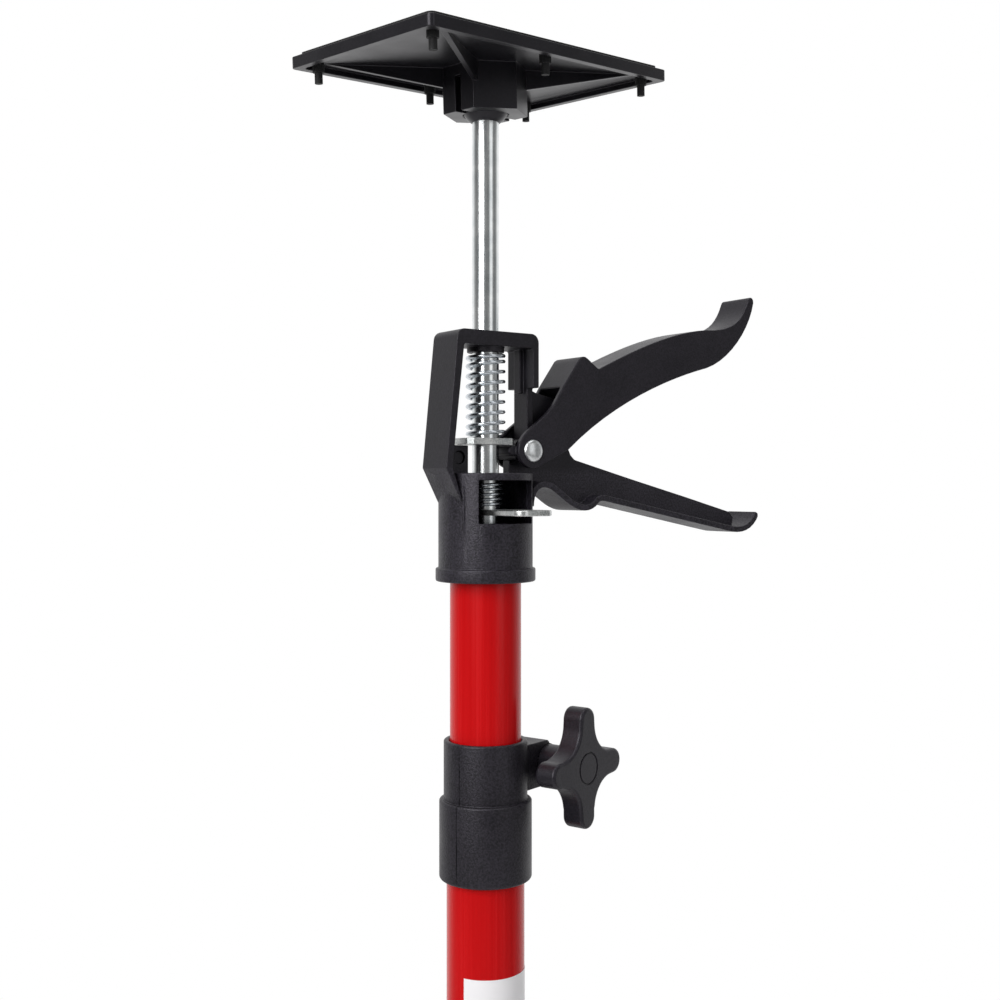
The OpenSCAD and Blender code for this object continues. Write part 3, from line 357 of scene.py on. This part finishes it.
def dressed(node, width, segments, chosen=None, flats=None):
    """Stands for a CAD piece: the same shape with its edges rounded as a mould or a press leaves them.

    The rounding takes less than half of the faces beside it. chosen says which vertices lie on an outline
    that gets the full width, and flats which faces first get a border of even width, on which a wide
    rounding can end.
    """
    work = bpy.data.objects.new(node + "_work", frame["nodes"][node].data.copy())
    scene.collection.objects.link(work)
    shape = bmesh.new()
    shape.from_mesh(work.data)
    bmesh.ops.remove_doubles(shape, verts=shape.verts, dist=SAME_POINT)
    bmesh.ops.dissolve_limit(shape, angle_limit=radians(FLAT_DEGREES), verts=shape.verts, edges=shape.edges)
    shape.normal_update()
    if flats:
        outline = [vert for vert in shape.verts if chosen(vert)]
        bmesh.ops.remove_doubles(shape, verts=outline, dist=OUTLINE_STEP)
        shape.normal_update()
        for way in (1, -1):
            plane = [face for face in shape.faces if flats(face) * way > 0]
            bmesh.ops.inset_region(shape, faces=plane, thickness=BORDER_SHARE * width, use_even_offset=True,
                                   use_boundary=True)
        shape.normal_update()
    share = shape.edges.layers.float.new("bevel_weight_edge")
    for edge in shape.edges:
        if len(edge.link_faces) == 2 and abs(edge.calc_face_angle_signed(0)) > radians(EDGE_DEGREES):
            narrow = ROOM_SHARE * min(room(edge, face) for face in edge.link_faces)
            if chosen is None:
                edge[share] = min(width, narrow) / width
            elif all(chosen(vert) for vert in edge.verts):
                edge[share] = 1.0
            else:
                edge[share] = min(FINE_EDGE, narrow) / width
            edge.smooth = False
    shape.to_mesh(work.data)
    shape.free()
    work.data.polygons.foreach_set("use_smooth", [True] * len(work.data.polygons))
    rounding = work.modifiers.new("edges", "BEVEL")
    rounding.width = width
    rounding.segments = segments
    rounding.limit_method = "WEIGHT"
    rounding.miter_outer = "MITER_ARC"
    rounding.use_clamp_overlap = False
    rounding.harden_normals = True
    weld = work.modifiers.new("weld", "WELD")
    weld.merge_threshold = WELD_REACH
    piece = new_piece(node + "_dressed", baked(work), BODY[node], SLOT[node], OWN_FINISH.get(node))
    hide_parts(node)


for name, node in frame["nodes"].items():
    node.data.materials.clear()
    node.data.materials.append(OWN_FINISH.get(name, FINISHES[SLOT[name]]))

# The star knob's axis: its azimuth, how far to the side of the pole it passes and how high it lies
KNOB_TURN = -72
KNOB_AXIS = Vector((cos(radians(KNOB_TURN)), sin(radians(KNOB_TURN)), 0))
KNOB_SIDE = 27.1 * MM
low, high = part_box("star_knob")
KNOB_HEIGHT = (low[2] + high[2]) / 2
KNOB_HUB_CLEAR = 8.8 * MM
KNOB_SMALL_FACE = 40 * MM * MM
FACES_ALONG = 0.999


def knob_flat(face):
    """1 on the star's front and -1 on its back, 0 elsewhere and on the small faces of hub and ring."""
    faces = face.normal.dot(KNOB_AXIS)
    if abs(faces) < FACES_ALONG or face.calc_area() < KNOB_SMALL_FACE:
        return 0
    return 1 if faces > 0 else -1


def knob_outline(vert):
    """Whether a vertex of the star knob is on its outline, and not on its hub or its ring."""
    at = vert.co - Vector((0, 0, KNOB_HEIGHT))
    across = at - at.dot(KNOB_AXIS) * KNOB_AXIS - KNOB_SIDE * Vector((-KNOB_AXIS.y, KNOB_AXIS.x, 0))
    return across.length > KNOB_HUB_CLEAR


# Width of the rounded edges in millimetres, and how many segments they have
EDGES = {
    "clamp_housing": (0.45, 3), "trigger": (0.6, 3), "pivot_rivet": (0.12, 2), "clamp_collar": (0.4, 2),
    "head_plate": (0.35, 2), "foot_plate": (0.35, 2), "foot_plug": (0.3, 2), "drive_plate": (0.3, 2),
    "release_lever": (0.5, 3), "collar_nut": (0.4, 2), "knob_washer": (0.2, 2),
}
for name, (width, segments) in EDGES.items():
    dressed(name, width * MM, segments)
KNOB_EDGE = 1.5 * MM
dressed("star_knob", KNOB_EDGE, 4, knob_outline, knob_flat)

# A coil: the turns that close up at each of its ends and the gap they leave, the wire's steps in a turn and
# the sides of its section
CLOSED_TURNS = 1.0
COIL_GAP = 0.55 * MM
COIL_STEPS, COIL_SIDES = 30, 12


def coil_tree():
    """A wire wound round Z: it closes up at both ends and is even in between."""
    tree = bpy.data.node_groups.new("wound_wire", "GeometryNodeTree")
    face = tree.interface
    for label in ("Turns", "Radius", "Height", "Close", "Wire"):
        face.new_socket(label, in_out="INPUT", socket_type="NodeSocketFloat")
    face.new_socket("Steps", in_out="INPUT", socket_type="NodeSocketInt")
    face.new_socket("Sides", in_out="INPUT", socket_type="NodeSocketInt")
    face.new_socket("Finish", in_out="INPUT", socket_type="NodeSocketMaterial")
    face.new_socket("Geometry", in_out="OUTPUT", socket_type="NodeSocketGeometry")
    given = add(tree, "NodeGroupInput").node.outputs
    line = add(tree, "GeometryNodeCurvePrimitiveLine", {"Start": (0, 0, 0), "End": (0, 0, 1)})
    line = add(tree, "GeometryNodeResampleCurve", {"Curve": line, "Count": given["Steps"]})
    share = add(tree, "GeometryNodeSplineParameter", out="Factor")
    turn = add(tree, "ShaderNodeMath", (share, given["Turns"]), operation="MULTIPLY")
    angle = add(tree, "ShaderNodeMath", (turn, 2 * pi), operation="MULTIPLY")
    even = add(tree, "ShaderNodeMath", (given["Turns"], 2 * CLOSED_TURNS), operation="SUBTRACT")
    closed = add(tree, "ShaderNodeMath", (given["Close"], 2 * CLOSED_TURNS), operation="MULTIPLY")
    free = add(tree, "ShaderNodeMath", (given["Height"], closed), operation="SUBTRACT")
    pitch = add(tree, "ShaderNodeMath", (free, even), operation="DIVIDE")
    beyond = add(tree, "ShaderNodeMath", (turn, CLOSED_TURNS), operation="SUBTRACT")
    beyond = add(tree, "ShaderNodeMath", (beyond, 0.0), operation="MAXIMUM")
    beyond = add(tree, "ShaderNodeMath", (beyond, even), operation="MINIMUM")
    wider = add(tree, "ShaderNodeMath", (pitch, given["Close"]), operation="SUBTRACT")
    extra = add(tree, "ShaderNodeMath", (beyond, wider), operation="MULTIPLY")
    height = add(tree, "ShaderNodeMath", (turn, given["Close"]), operation="MULTIPLY")
    height = add(tree, "ShaderNodeMath", (height, extra), operation="ADD")
    cosine = add(tree, "ShaderNodeMath", (angle,), operation="COSINE")
    sine = add(tree, "ShaderNodeMath", (angle,), operation="SINE")
    x = add(tree, "ShaderNodeMath", (cosine, given["Radius"]), operation="MULTIPLY")
    y = add(tree, "ShaderNodeMath", (sine, given["Radius"]), operation="MULTIPLY")
    point = add(tree, "ShaderNodeCombineXYZ", (x, y, height))
    bent = add(tree, "GeometryNodeSetPosition", {"Geometry": line, "Position": point})
    section = add(tree, "GeometryNodeCurvePrimitiveCircle",
                  {"Resolution": given["Sides"], "Radius": given["Wire"]})
    pipe = add(tree, "GeometryNodeCurveToMesh", {"Curve": bent, "Profile Curve": section, "Fill Caps": True})
    smooth = add(tree, "GeometryNodeSetShadeSmooth", {"Geometry": pipe})
    real = add(tree, "GeometryNodeRealizeInstances", {"Geometry": smooth})
    done = add(tree, "GeometryNodeSetMaterial", {"Geometry": real, "Material": given["Finish"]})
    tree.links.new(done, tree.nodes.new("NodeGroupOutput").inputs["Geometry"])
    return tree


COIL = coil_tree()


def wound(name, body, slot, base, turns, radius, height, close, wire):
    """A coil made by the coil tree and set on its base; close is its pitch where it closes up."""
    work = bpy.data.objects.new(name + "_work", bpy.data.meshes.new(name + "_work"))
    scene.collection.objects.link(work)
    build = work.modifiers.new("coil", "NODES")
    build.node_group = COIL
    values = {"Turns": float(turns), "Radius": radius, "Height": height, "Close": close, "Wire": wire,
              "Steps": int(turns * COIL_STEPS) + 1, "Sides": COIL_SIDES, "Finish": FINISHES[slot]}
    for item in COIL.interface.items_tree:
        if item.in_out == "INPUT":
            build[item.identifier] = values[item.name]
    mesh = baked(work)
    mesh.transform(Matrix.Translation(base))
    return new_piece(name, mesh, body, slot)


def spring(node, turns, wire):
    """A coil spring in the space of its CAD piece.

    wire is the wire's radius.
    """
    low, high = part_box(node)
    close = 2 * wire + COIL_GAP
    tall = high[2] - low[2] - 2 * wire
    base = Vector((0, 0, low[2] + wire))
    made = wound(node + "_coil", BODY[node], SLOT[node], base, turns, high[0] - wire, tall, close, wire)
    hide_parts(node)
    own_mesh(made)


spring("drive_spring", 9, 0.85 * MM)
spring("release_spring", 5.2, 0.7 * MM)

# The bare label on the lower tube, its upper end in the picture and the rest below it
LABEL_TOP = 909.3 * MM
LABEL_TALL = 75 * MM
LABEL_FROM, LABEL_TO = -157, -12
LABEL_LIFT = 0.03 * MM
LABEL_THICK = 0.1 * MM
LABEL_COLUMNS, LABEL_ROWS = 48, 8
SHARP_DEGREES = 40
TUBE_R = 17.5 * MM


def label_sheet():
    """A thin sheet bent round the tube, from one azimuth to the other, with nothing printed on it."""
    sheet = bmesh.new()
    columns, rows = LABEL_COLUMNS, LABEL_ROWS
    under = TUBE_R + LABEL_LIFT
    for radius, inward in ((under + LABEL_THICK, False), (under, True)):
        grid = [[sheet.verts.new((radius * cos(radians(a)), radius * sin(radians(a)), z)) for a in
                 [LABEL_FROM + (LABEL_TO - LABEL_FROM) * i / columns for i in range(columns + 1)]]
                for z in [LABEL_TOP - LABEL_TALL * j / rows for j in range(rows + 1)]]
        for j in range(rows):
            for i in range(columns):
                corners = [grid[j][i], grid[j + 1][i], grid[j + 1][i + 1], grid[j][i + 1]]
                sheet.faces.new(corners[::-1] if inward else corners)
        if not inward:
            outer = grid
    edge = [(0, i) for i in range(columns)] + [(j, columns) for j in range(rows)]
    edge += [(rows, i) for i in range(columns, 0, -1)] + [(j, 0) for j in range(rows, 0, -1)]
    for (j, i), (n, m) in zip(edge, edge[1:] + edge[:1]):
        sheet.faces.new((outer[j][i], outer[n][m], grid[n][m], grid[j][i]))
    bmesh.ops.recalc_face_normals(sheet, faces=sheet.faces)
    mesh = bpy.data.meshes.new("tube_label")
    sheet.to_mesh(mesh)
    sheet.free()
    mesh.polygons.foreach_set("use_smooth", [True] * len(mesh.polygons))
    mesh.set_sharp_from_angle(angle=radians(SHARP_DEGREES))
    paper = bare_paper("bare_label_stock", "#F3F1F3")
    new_piece("tube_label", mesh, "lower_pole", "pale_plastic", paper)


label_sheet()

# Studio: a world that turns from grey to white behind the pole, and is white all over for the camera alone,
# with three soft boxes in front of the pole and above it, and a pale floor
SIDE_GREY, BACK_WHITE = 0.2, 1.0
BACK_FROM, BACK_TO = 0.1, 0.6
world = bpy.data.worlds.new("studio")
scene.world = world
world.use_nodes = True
sky = world.node_tree
direction = add(sky, "ShaderNodeTexCoord", out="Generated")
toward = add(sky, "ShaderNodeVectorMath", (direction, look), "Value", operation="DOT_PRODUCT")
behind = add(sky, "ShaderNodeMapRange", (toward, BACK_FROM, BACK_TO, SIDE_GREY, BACK_WHITE))
seen = add(sky, "ShaderNodeLightPath", out="Is Camera Ray")
level = add(sky, "ShaderNodeMath", (behind, seen), operation="MAXIMUM")
sky.nodes["Background"].inputs["Color"].default_value = (1, 1, 1, 1)
sky.links.new(level, sky.nodes["Background"].inputs["Strength"])
AIM_HEIGHT = 1.1


def soft_box(name, across, along, up, width, height, power):
    """A rectangular lamp that faces the clamp; its place is given across, along and above the view."""
    lamp = bpy.data.lights.new(name, "AREA")
    lamp.shape = "RECTANGLE"
    lamp.size, lamp.size_y, lamp.energy = width, height, power
    box = bpy.data.objects.new(name, lamp)
    scene.collection.objects.link(box)
    box.location = across * right + along * look + Vector((0, 0, up))
    box.rotation_euler = (Vector((0, 0, AIM_HEIGHT)) - box.location).to_track_quat("-Z", "Y").to_euler()


# Name, place across, along and above the view, width, height and power
soft_box("key", -0.95, -1.35, 1.95, 1.2, 1.6, 33)
soft_box("fill", 1.35, -1.15, 1.55, 0.9, 1.7, 4)
soft_box("top", 0.0, -0.1, 2.6, 1.4, 1.0, 12)

# The floor turns white from FADE_FROM to FADE_TO away from the pole, for the camera alone
FLOOR_REACH, FLOOR_SIDES = 2.1, 96
FADE_FROM, FADE_TO = 0.7, 1.9
floor_mesh = bpy.data.meshes.new("floor")
ring = bmesh.new()
bmesh.ops.create_circle(ring, cap_ends=True, radius=FLOOR_REACH, segments=FLOOR_SIDES)
ring.to_mesh(floor_mesh)
ring.free()
floor = bpy.data.objects.new("floor", floor_mesh)
scene.collection.objects.link(floor)
paper, tree, shader = surface("pale_paper", Roughness=0.9)
shader.inputs["Base Color"].default_value = linear("#E6E6E6")
reach = add(tree, "ShaderNodeVectorMath", (own_place(tree),), "Value", operation="LENGTH")
rim = add(tree, "ShaderNodeMapRange", (reach, FADE_FROM, FADE_TO, 0, 1))
seen = add(tree, "ShaderNodeLightPath", out="Is Camera Ray")
share = add(tree, "ShaderNodeMath", (rim, seen), operation="MULTIPLY")
glow = add(tree, "ShaderNodeEmission", {"Color": (1, 1, 1, 1), "Strength": 1.0})
mixed = add(tree, "ShaderNodeMixShader", (share, shader.outputs[0], glow))
tree.links.new(mixed, tree.nodes["Material Output"].inputs["Surface"])
floor_mesh.materials.append(paper)
